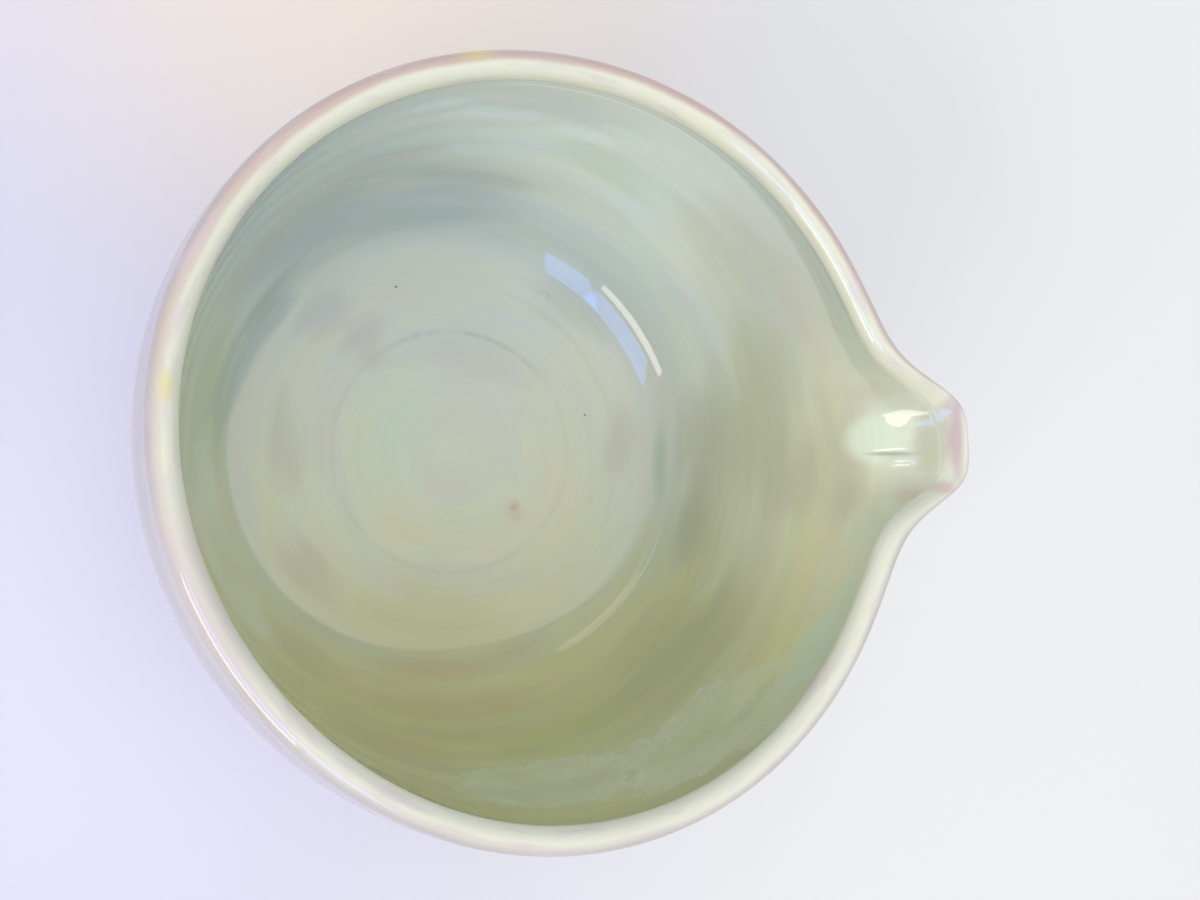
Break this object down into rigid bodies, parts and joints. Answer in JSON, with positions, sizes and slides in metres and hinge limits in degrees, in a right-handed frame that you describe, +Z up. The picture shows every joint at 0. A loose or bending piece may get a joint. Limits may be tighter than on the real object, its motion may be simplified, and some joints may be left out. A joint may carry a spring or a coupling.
{
  "type": "tea bowl",
  "caption": "Hand-thrown round tea bowl with a pulled pouring spout, a round lip, a hollow in the floor, a foot ring and pearly pale green glaze.",
  "frame": {"origin": "on the table, under the middle of the bowl and its spout", "axes": "+Z up out of the bowl's mouth, +X towards the spout"},
  "size_m": [0.1362, 0.1226, 0.0765],
  "materials": {
    "clay": "bare fired stoneware, matt",
    "foot_clay": "bare fired stoneware, matt, rubbed smooth where it stands",
    "inside_glaze": "glossy grey-green glaze with mother-of-pearl lustre",
    "outside_glaze": "glossy creamy white glaze with pink and lilac lustre"
  },
  "bodies": {
    "root": {"clay_body": "clay", "foot_ring": "foot_clay", "inside_glaze": "inside_glaze", "outside_glaze": "outside_glaze"}
  },
  "joints": []
}
